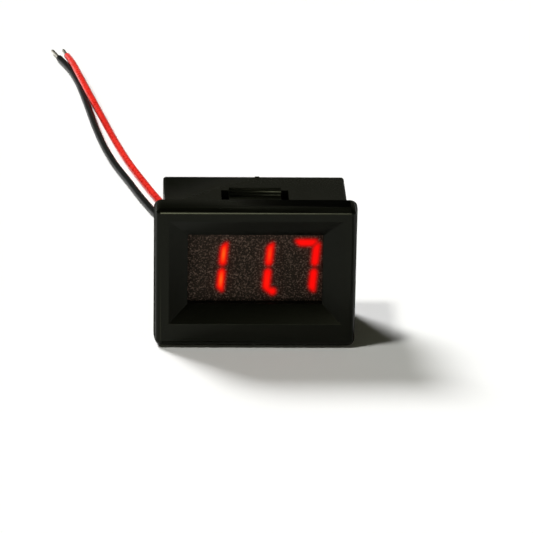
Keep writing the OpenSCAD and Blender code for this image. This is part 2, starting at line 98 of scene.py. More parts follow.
def addNoise(tree, scale, detail=2.0, rough=0.5):
    place = tree.nodes.new("ShaderNodeTexCoord")
    cloud = tree.nodes.new("ShaderNodeTexNoise")
    cloud.inputs["Scale"].default_value = scale
    cloud.inputs["Detail"].default_value = detail
    cloud.inputs["Roughness"].default_value = rough
    tree.links.new(place.outputs["Object"], cloud.inputs["Vector"])
    return cloud.outputs["Fac"]


def spread(tree, value, low, high, start=0.3, end=0.7):
    ramp = tree.nodes.new("ShaderNodeMapRange")
    ramp.inputs["From Min"].default_value = start
    ramp.inputs["From Max"].default_value = end
    ramp.inputs["To Min"].default_value = low
    ramp.inputs["To Max"].default_value = high
    tree.links.new(value, ramp.inputs["Value"])
    return ramp.outputs["Result"]


def blendColours(tree, factor, first, second):
    mix = tree.nodes.new("ShaderNodeMix")
    mix.data_type = "RGBA"
    tree.links.new(factor, mix.inputs["Factor"])
    mix.inputs["A"].default_value = (*first, 1)
    mix.inputs["B"].default_value = (*second, 1)
    return mix.outputs["Result"]


# One step of arithmetic on two values, each a number or a socket
def mathNode(tree, operation, first, second):
    step = tree.nodes.new("ShaderNodeMath")
    step.operation = operation
    for socket, value in zip(step.inputs, (first, second)):
        if isinstance(value, (int, float)):
            socket.default_value = value
        else:
            tree.links.new(value, socket)
    return step.outputs[0]


def addBump(tree, shader, height, strength, distance):
    bump = tree.nodes.new("ShaderNodeBump")
    bump.inputs["Strength"].default_value = strength
    bump.inputs["Distance"].default_value = distance
    tree.links.new(height, bump.inputs["Height"])
    tree.links.new(bump.outputs["Normal"], shader.inputs["Normal"])


# What a finish has unless its own facts say otherwise
plainFinish = {
    "metallic": 0, "gloss": 0.5, "glint": (1, 1, 1), "cloudScale": 180,
    "grain": 0.3, "grainScale": 5200, "grainDepth": 0.02 * mm,
    "slant": (0.66, 0.9),  # where a face seen aslant starts and ends to lose its gloss
}


# A finish with cloudy colour, uneven gloss and a fine surface grain
def grainedFinish(name, ownFacts):
    facts = {**plainFinish, **ownFacts}
    material, tree, shader = newMaterial(name)
    clouds = addNoise(tree, facts["cloudScale"], 3)
    grain = addNoise(tree, facts["grainScale"], 2)
    colour = blendColours(tree, spread(tree, clouds, 0, 1), facts["dark"], facts["light"])
    tree.links.new(colour, shader.inputs["Base Color"])
    low, high = facts["roughness"]
    rough = spread(tree, grain, low, high)
    if "edgeRoughness" in facts:
        slant = tree.nodes.new("ShaderNodeLayerWeight")
        slant.inputs["Blend"].default_value = 0.5
        edge = spread(tree, slant.outputs["Facing"], 0, facts["edgeRoughness"], *facts["slant"])
        rough = mathNode(tree, "ADD", rough, edge)
    tree.links.new(rough, shader.inputs["Roughness"])
    shader.inputs["Specular Tint"].default_value = (*facts["glint"], 1)
    shader.inputs["Metallic"].default_value = facts["metallic"]
    shader.inputs["Specular IOR Level"].default_value = facts["gloss"]
    addBump(tree, shader, grain, facts["grain"], facts["grainDepth"])
    return material


finishes = {
    "blackMoulding": {
        "dark": (0.0018, 0.002, 0.0011), "light": (0.003, 0.0032, 0.002), "roughness": (0.23, 0.27),
        "edgeRoughness": 0.7, "gloss": 0.11, "glint": (0.96, 1, 0.84),
        "grain": 0.35, "grainScale": 5600, "grainDepth": 0.012 * mm,
    },
    "coverMoulding": {
        "dark": (0.0024, 0.0026, 0.0018), "light": (0.004, 0.0042, 0.003), "roughness": (0.32, 0.44),
        "edgeRoughness": 0.3, "gloss": 0.2, "glint": (0.96, 1, 0.84),
        "grain": 0.4, "grainScale": 4800, "grainDepth": 0.014 * mm,
    },
    "reflectorPlastic": {
        "dark": (0.012, 0.011, 0.01), "light": (0.02, 0.018, 0.016), "roughness": (0.55, 0.7),
    },
    "milkyResin": {"dark": (0.1, 0.075, 0.06), "light": (0.14, 0.11, 0.09), "roughness": (0.25, 0.35)},
    "tanLaminate": {
        "dark": (0.42, 0.34, 0.16), "light": (0.52, 0.44, 0.22), "roughness": (0.4, 0.55),
        "grainScale": 2400,
    },
    "diceMaterial": {
        "dark": (0.5, 0.3, 0.08), "light": (0.65, 0.42, 0.12), "roughness": (0.2, 0.4),
        "metallic": 0.6,
    },
    "tinPlate": {
        "dark": (0.55, 0.55, 0.53), "light": (0.7, 0.7, 0.68), "roughness": (0.25, 0.42),
        "metallic": 1, "grainScale": 3000,
    },
    "greenMask": {
        "dark": (0.008, 0.09, 0.03), "light": (0.014, 0.13, 0.045), "roughness": (0.25, 0.38),
        "cloudScale": 900, "grainScale": 2600,
    },
    "packagePlastic": {
        "dark": (0.011, 0.011, 0.011), "light": (0.018, 0.018, 0.018), "roughness": (0.5, 0.65),
    },
    "resistorGlaze": {"dark": (0.014, 0.014, 0.016), "light": (0.03, 0.03, 0.034), "roughness": (0.18, 0.3)},
    "capacitorCeramic": {"dark": (0.38, 0.24, 0.12), "light": (0.48, 0.32, 0.18), "roughness": (0.4, 0.55)},
    "tantalumCase": {"dark": (0.55, 0.26, 0.03), "light": (0.66, 0.34, 0.05), "roughness": (0.4, 0.5)},
    "brightSolder": {
        "dark": (0.55, 0.56, 0.57), "light": (0.72, 0.73, 0.74), "roughness": (0.15, 0.32),
        "metallic": 1, "grainScale": 2200,
    },
    "tinnedCopper": {
        "dark": (0.6, 0.56, 0.48), "light": (0.72, 0.7, 0.64), "roughness": (0.22, 0.38),
        "metallic": 1, "grainScale": 3200,
    },
    "redInsulation": {
        "dark": (0.7, 0.012, 0.008), "light": (0.88, 0.022, 0.013), "roughness": (0.24, 0.34),
        "gloss": 0.5, "grain": 0.12, "grainScale": 1500, "cloudScale": 400,
    },
    "blackInsulation": {
        "dark": (0.004, 0.004, 0.0045), "light": (0.008, 0.008, 0.009), "roughness": (0.3, 0.4),
        "gloss": 0.22, "grain": 0.12, "grainScale": 1500, "cloudScale": 400,
    },
}
materials = {name: grainedFinish(name, facts) for name, facts in finishes.items()}


# Resin that glows: brighter towards the left of the display
def glowingResin(facts):
    material, tree, shader = newMaterial("glowingResin")
    place = tree.nodes.new("ShaderNodeTexCoord")
    split = tree.nodes.new("ShaderNodeSeparateXYZ")
    tree.links.new(place.outputs["Object"], split.inputs["Vector"])
    across = spread(tree, split.outputs["X"], 0, 1, facts["fromX"], facts["toX"])
    glow = blendColours(tree, across, facts["left"], facts["right"])
    shader.inputs["Base Color"].default_value = (*facts["body"], 1)
    shader.inputs["Roughness"].default_value = facts["roughness"]
    tree.links.new(glow, shader.inputs["Emission Color"])
    shader.inputs["Emission Strength"].default_value = facts["strength"]
    return material


litFacts = {
    "fromX": -0.005, "toX": 0.0095, "left": (1, 0.062, 0.004), "right": (1, 0.002, 0.002),
    "body": (0.5, 0.03, 0.02), "roughness": 0.3, "strength": 1.6,
}
materials["glowingResin"] = glowingResin(litFacts)
print("finishes made")

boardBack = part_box("circuit_board")[1].y

# Exits and routes in millimetres; the routes' heights are above a lead that lies on the floor
leadFacts = {
    "diameter": 1.3 * mm,
    "start": boardBack + 2 * mm,
    "straight": 3 * mm,  # out of the cover before the first bend
    "red": (-0.5, -6.4),
    "black": (-3.0, -6.4),
    "redRoute": [
        (-0.5, 20, 4.4), (-1.1, 24, 3), (-2.6, 28.5, 1.6), (-4.4, 33.5, 0.6), (-6.4, 39, 0.1),
        (-9, 46, 0), (-12, 54.5, 0), (-15.4, 64.5, 0), (-18.2, 74.5, 0), (-20.8, 84.5, 0),
        (-23, 94.5, 0), (-25, 104.5, 0.1), (-27.05, 114.5, 0.5), (-29.25, 124.5, 1.15), (-30.9, 133, 1.35),
        (-32.3, 141, 1.15), (-33.6, 148, 0.5),
    ],
    "blackRoute": [
        (-3, 20, 4.4), (-3.6, 24, 3), (-5, 28.5, 1.6), (-6.9, 33.5, 0.6), (-9.1, 39, 0.1),
        (-11.8, 46, 0), (-15, 54.5, 0), (-18.2, 64.5, 0), (-20.9, 74.5, 0), (-23.6, 84.5, 0),
        (-25.7, 94.5, 0), (-27.3, 104.5, 0), (-28.65, 114.5, 0), (-30, 124.5, 0), (-31.3, 133, 0),
        (-33, 141, 0), (-35.2, 148, 0),
    ],
}


def leadPoints(at, route):
    x, z = at[0] * mm, at[1] * mm
    start, clear = leadFacts["start"], coverBack + leadFacts["straight"]
    lying = groundZ + leadFacts["diameter"] / 2
    inside = [Vector((x, y, z)) for y in (start, (start + clear) / 2, clear)]
    return inside + [Vector((p[0] * mm, p[1] * mm, lying + p[2] * mm)) for p in route]


def makeLead(name, node, at, route, material):
    line = leadPoints(at, route)
    data = bpy.data.curves.new(name, "CURVE")
    data.dimensions = "3D"
    data.resolution_u = 10
    data.bevel_depth = leadFacts["diameter"] / 2
    data.bevel_resolution = 5
    data.use_fill_caps = True
    spline = data.splines.new("BEZIER")
    spline.bezier_points.add(len(line) - 1)
    last = len(line) - 1
    for i, p in enumerate(line):
        along = (line[min(i + 1, last)] - line[max(i - 1, 0)]) / 6
        point = spline.bezier_points[i]
        point.co = p
        point.handle_left_type = point.handle_right_type = "FREE"
        point.handle_left, point.handle_right = p - along, p + along
    lead = bpy.data.objects.new(name, data)
    bpy.context.scene.collection.objects.link(lead)
    data.materials.append(material)
    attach(lead, "root")
    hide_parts(node)
    return lead, line


redLead, redLine = makeLead("redLead", "red_wire", leadFacts["red"], leadFacts["redRoute"],
                            materials["redInsulation"])
blackLead, blackLine = makeLead("blackLead", "black_wire", leadFacts["black"],
                                leadFacts["blackRoute"], materials["blackInsulation"])


# A node tree with named inputs, each kept by its socket's identifier
def newTree(name, inputs):
    tree = bpy.data.node_groups.new(name, "GeometryNodeTree")
    sockets = {}
    tree.interface.new_socket("Geometry", in_out="INPUT", socket_type="NodeSocketGeometry")
    for title, kind in inputs:
        socket = tree.interface.new_socket(title, in_out="INPUT", socket_type="NodeSocket" + kind)
        sockets[title] = socket.identifier
    tree.interface.new_socket("Geometry", in_out="OUTPUT", socket_type="NodeSocketGeometry")
    return tree, sockets, tree.nodes.new("NodeGroupInput"), tree.nodes.new("NodeGroupOutput")


# The end of every tree: copies made real, then their material
def finishTree(tree, given, out, geometry):
    real = tree.nodes.new("GeometryNodeRealizeInstances")
    tree.links.new(geometry, real.inputs["Geometry"])
    paint = tree.nodes.new("GeometryNodeSetMaterial")
    tree.links.new(real.outputs["Geometry"], paint.inputs["Geometry"])
    tree.links.new(given.outputs["Material"], paint.inputs["Material"])
    tree.links.new(paint.outputs["Geometry"], out.inputs["Geometry"])


# Twisted strands at a lead's free end, laid along the lead's last direction
def strandTree():
    tree, sockets, given, out = newTree("twistedStrands", [
        ("Length", "Float"), ("Lay Radius", "Float"), ("Strand Radius", "Float"), ("Turns", "Float"),
        ("Strands", "Int"), ("Material", "Material")])
    add, link = tree.nodes.new, tree.links.new
    spiral = add("GeometryNodeCurveSpiral")
    spiral.inputs["Resolution"].default_value = 14
    for title, socket in (("Turns", "Rotations"), ("Length", "Height"), ("Lay Radius", "Start Radius"),
                          ("Lay Radius", "End Radius")):
        link(given.outputs[title], spiral.inputs[socket])
    ring = add("GeometryNodeCurvePrimitiveCircle")
    ring.inputs["Resolution"].default_value = 10
    link(given.outputs["Strand Radius"], ring.inputs["Radius"])
    sweep = add("GeometryNodeCurveToMesh")
    sweep.inputs["Fill Caps"].default_value = True
    link(spiral.outputs["Curve"], sweep.inputs["Curve"])
    link(ring.outputs["Curve"], sweep.inputs["Profile Curve"])
    spots = add("GeometryNodePoints")
    link(given.outputs["Strands"], spots.inputs["Count"])
    number = add("GeometryNodeInputIndex")
    share = mathNode(tree, "DIVIDE", number.outputs["Index"], given.outputs["Strands"])
    heading = add("ShaderNodeCombineXYZ")
    link(mathNode(tree, "MULTIPLY", share, 2 * math.pi), heading.inputs["Z"])
    copies = add("GeometryNodeInstanceOnPoints")
    link(spots.outputs["Points"], copies.inputs["Points"])
    link(sweep.outputs["Mesh"], copies.inputs["Instance"])
    link(heading.outputs["Vector"], copies.inputs["Rotation"])
    core = add("GeometryNodeMeshCylinder")
    core.inputs["Vertices"].default_value = 12
    link(given.outputs["Strand Radius"], core.inputs["Radius"])
    link(given.outputs["Length"], core.inputs["Depth"])
    lift = add("ShaderNodeCombineXYZ")
    link(mathNode(tree, "MULTIPLY", given.outputs["Length"], 0.5), lift.inputs["Z"])
    raised = add("GeometryNodeTransform")
    link(core.outputs["Mesh"], raised.inputs["Geometry"])
    link(lift.outputs["Vector"], raised.inputs["Translation"])
    both = add("GeometryNodeJoinGeometry")
    link(copies.outputs["Instances"], both.inputs["Geometry"])
    link(raised.outputs["Geometry"], both.inputs["Geometry"])
    finishTree(tree, given, out, both.outputs["Geometry"])
    return tree, sockets


# Turns a node tree's result into a plain mesh object
def bakedPiece(name, tree, sockets, values, place=None, spots=()):
    carried = bpy.data.meshes.new(name + "Carrier")
    carried.from_pydata(list(spots), [], [])
    carrier = bpy.data.objects.new(name + "Carrier", carried)
    bpy.context.scene.collection.objects.link(carrier)
    modifier = carrier.modifiers.new("make", "NODES")
    modifier.node_group = tree
    for title, value in values.items():
        modifier[sockets[title]] = value
    bpy.context.view_layer.update()
    shown = carrier.evaluated_get(bpy.context.evaluated_depsgraph_get())
    mesh = bpy.data.meshes.new_from_object(shown)
    bpy.data.objects.remove(carrier)
    if place is not None:
        mesh.transform(place)
    mesh.name = name
    piece = bpy.data.objects.new(name, mesh)
    bpy.context.scene.collection.objects.link(piece)
    mesh.shade_smooth()
    mesh.set_sharp_from_angle(angle=math.radians(40))
    return piece


strandFacts = {
    "Length": 5 * mm, "Lay Radius": 0.232 * mm, "Strand Radius": 0.112 * mm, "Turns": 1.6, "Strands": 6,
}
strandValues = {**strandFacts, "Material": materials["tinnedCopper"]}
tree, sockets = strandTree()
for name, node, line in (("redStrandEnd", "red_wire_end", redLine),
                         ("blackStrandEnd", "black_wire_end", blackLine)):
    along = (line[-1] - line[-2]).normalized()
    place = along.to_track_quat("Z", "Y").to_matrix().to_4x4()
    place.translation = line[-1]
    piece = bakedPiece(name, tree, sockets, strandValues, place)
    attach(piece, "root")
    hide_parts(node)

print("leads laid")

softFacts = {
    "housing": 0.09 * mm,
    "rear_cover": 0.06 * mm,
    "sharpFrom": math.radians(28),
    "flatUpTo": math.radians(0.4),
    "seat": 0.05 * mm,  # edges this near the panel's face stay sharp
}


# A copy of a moulded node whose sharp edges are broken, as they are on a moulding
def softened(node, name, width, material):
    mesh = nodes[node].data.copy()
    mesh.name = name
    shape = bmesh.new()
    shape.from_mesh(mesh)
    bmesh.ops.remove_doubles(shape, verts=shape.verts, dist=2e-7)
    bmesh.ops.dissolve_limit(shape, angle_limit=softFacts["flatUpTo"], verts=shape.verts, edges=shape.edges)
    broken = shape.edges.layers.float.new("bevel_weight_edge")
    for edge in shape.edges:
        crease = edge.calc_face_angle(0)
        atSeat = all(abs(v.co.y) < softFacts["seat"] for v in edge.verts)
        edge[broken] = 1.0 if crease > softFacts["sharpFrom"] and not atSeat else 0.0
    shape.to_mesh(mesh)
    shape.free()
    piece = bpy.data.objects.new(name, mesh)
    bpy.context.scene.collection.objects.link(piece)
    mesh.materials.clear()
    mesh.materials.append(material)
    for face in mesh.polygons:
        face.material_index = 0
    mesh.shade_smooth()
    mesh.set_sharp_from_angle(angle=softFacts["sharpFrom"])
    bevel = piece.modifiers.new("brokenEdges", "BEVEL")
    bevel.width = width
    bevel.segments = 2
    bevel.limit_method = "WEIGHT"
    bevel.use_clamp_overlap = True
    bevel.harden_normals = True
    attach(piece, "root")
    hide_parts(node)


softened("housing", "mouldedHousing", softFacts["housing"], materials["blackMoulding"])
softened("rear_cover", "rearCover", softFacts["rear_cover"], materials["coverMoulding"])
print("enclosure finished")


# Lowest and highest corners of each separate solid in a node
def solidBoxes(node):
    shape = bmesh.new()
    shape.from_mesh(nodes[node].data)
    bmesh.ops.remove_doubles(shape, verts=shape.verts, dist=1e-6)
    boxes, seen = [], set()
    for start in shape.verts:
        if start in seen:
            continue
        seen.add(start)
        group, waiting = [], [start]
        while waiting:
            here = waiting.pop()
            group.append(here.co.copy())
            for edge in here.link_edges:
                other = edge.other_vert(here)
                if other not in seen:
                    seen.add(other)
                    waiting.append(other)
        boxes.append((Vector(map(min, zip(*group))), Vector(map(max, zip(*group)))))
    shape.free()
    return boxes


filmFacts = {
    "step": 0.15 * mm,
    "fine": 3,  # samples along each step when the strokes are measured
    # The next facts paint the light of the lit strokes onto the film: a near glow, a faint halo and orange
    # cores
    "blur": 0.27 * mm,
    "glowHalo": 1.0 * mm,
    "glowHaloShare": 0.04,
    "base": (0.0212, 0.0146, 0.0102),
    "speckle": (0.194, 0.13, 0.1),
    "lit": (0.2, 0.004, 0.002),
    "specular": 0.03,
    "clear": 0.05,
    "clearTint": (0.6, 0.25, 0.2),
    "speckleScale": 4300,
    "speckleRough": 0.6,
    "speckleFrom": 0.5,
    "speckleTo": 0.72,
    "cloudScale": 260,
    "roughness": (0.42, 0.52),
    "grain": 0.25,
    "grainDepth": 0.01 * mm,
    "litFrom": 0.1,
    "litTo": 0.6,
    "blueShare": 0.06,  # of the painted core glow
    "strength": 1.1,
    "coreGlow": [0.17, 0.17, 0.065, 0.012],  # of the strokes, from the left
    "core": 1.15 * mm,
}


# The strokes that are alight, as closed outlines seen from the front
def litOutlines():
    shape = bmesh.new()
    shape.from_mesh(nodes["lit_segments"].data)
    bmesh.ops.remove_doubles(shape, verts=shape.verts, dist=1e-6)
    front = min(v.co.y for v in shape.verts)
    faces = [[(v.co.x, v.co.z) for v in f.verts] for f in shape.faces
             if max(abs(v.co.y - front) for v in f.verts) < 1e-6]
    shape.free()
    return faces


# Which samples of a grid over the film lie on a lit stroke
def strokeMask(low, high, columns, rows, faces):
    x = low.x + (high.x - low.x) * (np.arange(columns) + 0.5) / columns
    z = low.z + (high.z - low.z) * (np.arange(rows) + 0.5) / rows
    gridX, gridZ = np.meshgrid(x, z)
    mask = np.zeros(gridX.shape, bool)
    for corners in faces:
        hit = np.zeros(gridX.shape, bool)
        for (ax, az), (bx, bz) in zip(corners, corners[1:] + corners[:1]):
            if abs(bz - az) > 1e-12:
                hit ^= ((az > gridZ) != (bz > gridZ)) & (gridX < (bx - ax) * (gridZ - az) / (bz - az) + ax)
        mask |= hit
    return mask.astype(float)


# The mask softened by a bell curve, first along one side and then along the other
def blurred(values, reach):
    size = int(math.ceil(3 * reach))
    bell = np.exp(-0.5 * (np.arange(-size, size + 1) / reach) ** 2)
    bell /= bell.sum()
    for axis in (0, 1):
        values = np.apply_along_axis(lambda line: np.convolve(line, bell, mode="same"), axis, values)
    return values


# A thin sheet with a fine grid of points in front, which carries the light of the strokes behind it, painted
# on as a glow
def tintedFilm(facts):
    low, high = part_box("window_film")
    columns = round((high.x - low.x) / facts["step"])
    rows = round((high.z - low.z) / facts["step"])
    fine = facts["fine"]
    mask = strokeMask(low, high, columns * fine, rows * fine, litOutlines())
    pitch = (high.x - low.x) / (columns * fine)
    near = blurred(mask, facts["blur"] / pitch)
    far = blurred(mask, facts["glowHalo"] / pitch)
    strokes = sorted(((a.x + b.x) / 2, (a.z + b.z) / 2) for a, b in solidBoxes("lit_segments"))
    cores = list(zip(strokes, facts["coreGlow"]))
    points, glow, coreGlow = [], [], []
    for j in range(rows + 1):
        for i in range(columns + 1):
            x = low.x + (high.x - low.x) * i / columns
            z = low.z + (high.z - low.z) * j / rows
            points.append((x, low.y, z))
            row, column = min(j * fine, rows * fine - 1), min(i * fine, columns * fine - 1)
            # Painted light: each point stores the strokes' near glow with its faint halo, and their orange
            # core glow
            glow.append(near[row, column] + facts["glowHaloShare"] * far[row, column])
            coreGlow.append(near[row, column] ** 6 * sum(
                amount * math.exp(-((x - cx) ** 2 + (z - cz) ** 2) / facts["core"] ** 2)
                for (cx, cz), amount in cores))
    across = columns + 1
    quads = [(j * across + i, j * across + i + 1, (j + 1) * across + i + 1, (j + 1) * across + i)
             for j in range(rows) for i in range(columns)]
    ring = list(range(across))  # the front's rim, once round
    ring += [j * across + columns for j in range(1, rows + 1)]
    ring += [rows * across + i for i in range(columns - 1, -1, -1)]
    ring += [j * across for j in range(rows - 1, 0, -1)]
    first = len(points)
    points += [(points[k][0], high.y, points[k][2]) for k in ring]
    n = len(ring)
    glow += [0.0] * n
    coreGlow += [0.0] * n
    quads += [(ring[(k + 1) % n], ring[k], first + k, first + (k + 1) % n) for k in range(n)]
    quads.append(tuple(range(first + n - 1, first - 1, -1)))
    mesh = bpy.data.meshes.new("tintedFilm")
    mesh.from_pydata(points, [], quads)
    mesh.attributes.new("glow", "FLOAT", "POINT").data.foreach_set("value", glow)
    mesh.attributes.new("coreGlow", "FLOAT", "POINT").data.foreach_set("value", coreGlow)
    shape = bmesh.new()
    shape.from_mesh(mesh)
    bmesh.ops.recalc_face_normals(shape, faces=shape.faces)
    shape.to_mesh(mesh)
    shape.free()
    film = bpy.data.objects.new("tintedFilm", mesh)
    bpy.context.scene.collection.objects.link(film)
    return film


# Dark speckled film with painted light from its points: red from the strokes' glow and orange from their
# cores
def filmMaterial(facts):
    material, tree, shader = newMaterial("smokyFilm")
    output = tree.nodes["Material Output"]
    specks = addNoise(tree, facts["speckleScale"], 2, facts["speckleRough"])
    clouds = addNoise(tree, facts["cloudScale"], 2)
    speckled = spread(tree, specks, 0, 1, facts["speckleFrom"], facts["speckleTo"])
    colour = blendColours(tree, speckled, facts["base"], facts["speckle"])
    glow = tree.nodes.new("ShaderNodeAttribute")
    glow.attribute_name = "glow"
    # Painted light: the film's colour turns red where the glow of the strokes is painted on it
    flood = tree.nodes.new("ShaderNodeMix")
    flood.data_type = "RGBA"
    lit = spread(tree, glow.outputs["Fac"], 0, 1, facts["litFrom"], facts["litTo"])
    tree.links.new(lit, flood.inputs["Factor"])
    tree.links.new(colour, flood.inputs["A"])
    flood.inputs["B"].default_value = (*facts["lit"], 1)
    tree.links.new(flood.outputs["Result"], shader.inputs["Base Color"])
    tree.links.new(spread(tree, clouds, *facts["roughness"]), shader.inputs["Roughness"])
    shader.inputs["Specular IOR Level"].default_value = facts["specular"]
    addBump(tree, shader, specks, facts["grain"], facts["grainDepth"])
    # Painted light: the strokes' glow and orange cores are given to the film as its own emission
    coreGlow = tree.nodes.new("ShaderNodeAttribute")
    coreGlow.attribute_name = "coreGlow"
    join = tree.nodes.new("ShaderNodeCombineColor")
    tree.links.new(mathNode(tree, "MULTIPLY", glow.outputs["Fac"], facts["strength"]), join.inputs["Red"])
    tree.links.new(coreGlow.outputs["Fac"], join.inputs["Green"])
    tree.links.new(mathNode(tree, "MULTIPLY", coreGlow.outputs["Fac"], facts["blueShare"]), join.inputs["Blue"])
    tree.links.new(join.outputs["Color"], shader.inputs["Emission Color"])
    shader.inputs["Emission Strength"].default_value = 1.0
    clear = tree.nodes.new("ShaderNodeBsdfTransparent")
    clear.inputs["Color"].default_value = (*facts["clearTint"], 1)
    mix = tree.nodes.new("ShaderNodeMixShader")
    mix.inputs["Fac"].default_value = 1 - facts["clear"]
    tree.links.new(clear.outputs["BSDF"], mix.inputs[1])
    tree.links.new(shader.outputs["BSDF"], mix.inputs[2])
    tree.links.new(mix.outputs["Shader"], output.inputs["Surface"])
    return material


film = tintedFilm(filmFacts)
film.data.materials.append(filmMaterial(filmFacts))
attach(film, "root")
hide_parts("window_film")
print("film made")


# A concave cone of solder on each carried point: wide on the board, narrow up the pin
def solderTree():
    tree, sockets, given, out = newTree("solderJoints", [
        ("Foot Radius", "Float"), ("Neck Share", "Float"), ("Height", "Float"), ("Hollow", "Float"),
        ("Material", "Material")])
    add, link = tree.nodes.new, tree.links.new
    cone = add("GeometryNodeMeshCylinder")
    cone.inputs["Vertices"].default_value = 20
    cone.inputs["Side Segments"].default_value = 7
    link(given.outputs["Foot Radius"], cone.inputs["Radius"])
    link(given.outputs["Height"], cone.inputs["Depth"])
    place = add("GeometryNodeInputPosition")
    split = add("ShaderNodeSeparateXYZ")
    link(place.outputs["Position"], split.inputs["Vector"])
    up = mathNode(tree, "ADD", mathNode(tree, "DIVIDE", split.outputs["Z"], given.outputs["Height"]), 0.5)
    down = mathNode(tree, "POWER", mathNode(tree, "SUBTRACT", 1.0, up), given.outputs["Hollow"])
    wide = mathNode(tree, "ADD", mathNode(tree, "MULTIPLY", down, mathNode(
        tree, "SUBTRACT", 1.0, given.outputs["Neck Share"])), given.outputs["Neck Share"])
    join = add("ShaderNodeCombineXYZ")
    link(mathNode(tree, "MULTIPLY", split.outputs["X"], wide), join.inputs["X"])
    link(mathNode(tree, "MULTIPLY", split.outputs["Y"], wide), join.inputs["Y"])
    link(mathNode(tree, "MULTIPLY", up, given.outputs["Height"]), join.inputs["Z"])
    shaped = add("GeometryNodeSetPosition")
    link(cone.outputs["Mesh"], shaped.inputs["Geometry"])
    link(join.outputs["Vector"], shaped.inputs["Position"])
    copies = add("GeometryNodeInstanceOnPoints")
    link(given.outputs["Geometry"], copies.inputs["Points"])
    link(shaped.outputs["Geometry"], copies.inputs["Instance"])
    copies.inputs["Rotation"].default_value = (-math.pi / 2, 0, 0)
    finishTree(tree, given, out, copies.outputs["Instances"])
    return tree, sockets


# Legs along both sides of a package: out of its side, down to the board and along it
def legTree():
    tree, sockets, given, out = newTree("packageLegs", [
        ("Count", "Int"), ("Pitch", "Float"), ("Side", "Float"), ("Reach", "Float"), ("Foot", "Float"),
        ("Height", "Float"), ("Width", "Float"), ("Thickness", "Float"), ("Bend Out", "Float"),
        ("Bend In", "Float"), ("Overlap", "Float"), ("Lift", "Float"), ("Material", "Material")])
    add, link = tree.nodes.new, tree.links.new
    half = mathNode(tree, "MULTIPLY", given.outputs["Thickness"], given.outputs["Lift"])
    bendEnd = mathNode(tree, "SUBTRACT", given.outputs["Reach"], given.outputs["Foot"])

    def spot(along, height):
        join = add("ShaderNodeCombineXYZ")
        for value, title in ((height, "Y"), (along, "Z")):
            if isinstance(value, (int, float)):
                join.inputs[title].default_value = value
            else:
                link(value, join.inputs[title])
        return join.outputs["Vector"]

    bend = add("GeometryNodeCurvePrimitiveBezierSegment")
    bend.mode = "POSITION"
    bend.inputs["Resolution"].default_value = 10
    bendOut, bendIn, overlap = (mathNode(tree, "MULTIPLY", bendEnd, given.outputs[title])
                                for title in ("Bend Out", "Bend In", "Overlap"))
    link(spot(0.0, given.outputs["Height"]), bend.inputs["Start"])
    link(spot(bendOut, given.outputs["Height"]), bend.inputs["Start Handle"])
    link(spot(bendIn, half), bend.inputs["End Handle"])
    link(spot(bendEnd, half), bend.inputs["End"])
    foot = add("GeometryNodeCurvePrimitiveLine")
    link(spot(overlap, half), foot.inputs["Start"])
    link(spot(given.outputs["Reach"], half), foot.inputs["End"])
    section = add("GeometryNodeCurvePrimitiveQuadrilateral")
    link(given.outputs["Thickness"], section.inputs["Width"])
    link(given.outputs["Width"], section.inputs["Height"])
    leg = add("GeometryNodeJoinGeometry")
    for curve in (bend.outputs["Curve"], foot.outputs["Curve"]):
        sweep = add("GeometryNodeCurveToMesh")
        sweep.inputs["Fill Caps"].default_value = True
        link(curve, sweep.inputs["Curve"])
        link(section.outputs["Curve"], sweep.inputs["Profile Curve"])
        link(sweep.outputs["Mesh"], leg.inputs["Geometry"])
    row = add("GeometryNodeMeshLine")
    link(given.outputs["Count"], row.inputs["Count"])
    gaps = mathNode(tree, "SUBTRACT", given.outputs["Count"], 1)
    span = mathNode(tree, "MULTIPLY", gaps, given.outputs["Pitch"])
    start = add("ShaderNodeCombineXYZ")
    link(mathNode(tree, "MULTIPLY", span, -0.5), start.inputs["X"])
    link(given.outputs["Side"], start.inputs["Z"])
    link(start.outputs["Vector"], row.inputs["Start Location"])
    pace = add("ShaderNodeCombineXYZ")
    link(given.outputs["Pitch"], pace.inputs["X"])
    link(pace.outputs["Vector"], row.inputs["Offset"])
    copies = add("GeometryNodeInstanceOnPoints")
    link(row.outputs["Mesh"], copies.inputs["Points"])
    link(leg.outputs["Geometry"], copies.inputs["Instance"])
    turned = add("GeometryNodeTransform")
    link(copies.outputs["Instances"], turned.inputs["Geometry"])
    turned.inputs["Rotation"].default_value = (0, math.pi, 0)
    both = add("GeometryNodeJoinGeometry")
    link(copies.outputs["Instances"], both.inputs["Geometry"])
    link(turned.outputs["Geometry"], both.inputs["Geometry"])
    finishTree(tree, given, out, both.outputs["Geometry"])
    return tree, sockets


# A plated cap over each carried end of a chip
def capTree():
    tree, sockets, given, out = newTree("chipCaps", [("Size", "Vector"), ("Material", "Material")])
    block = tree.nodes.new("GeometryNodeMeshCube")
    tree.links.new(given.outputs["Size"], block.inputs["Size"])
    copies = tree.nodes.new("GeometryNodeInstanceOnPoints")
    tree.links.new(given.outputs["Geometry"], copies.inputs["Points"])
    tree.links.new(block.outputs["Mesh"], copies.inputs["Instance"])
    finishTree(tree, given, out, copies.outputs["Instances"])
    return tree, sockets


solderFacts = {"Foot Radius": 0.7 * mm, "Neck Share": 0.46, "Height": 0.7 * mm, "Hollow": 2.4}
legFacts = {"Count": 10, "Reach": 1.0 * mm, "Foot": 0.6 * mm, "Height": 0.55 * mm, "Width": 0.24 * mm,
            "Thickness": 0.14 * mm, "Bend Out": 0.6, "Bend In": 0.4, "Overlap": 0.96, "Lift": 0.85}
capFacts = {"share": 0.2, "proud": 0.02 * mm, "soft": 0.05 * mm}

pinSpots = [((low.x + high.x) / 2, boardBack, (low.z + high.z) / 2)
            for low, high in solidBoxes("display_pins")]
tree, sockets = solderTree()
joints = bakedPiece("pinSolderJoints", tree, sockets, {**solderFacts, "Material": materials["brightSolder"]},
                    spots=pinSpots)
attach(joints, "root")
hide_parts("pin_solder")

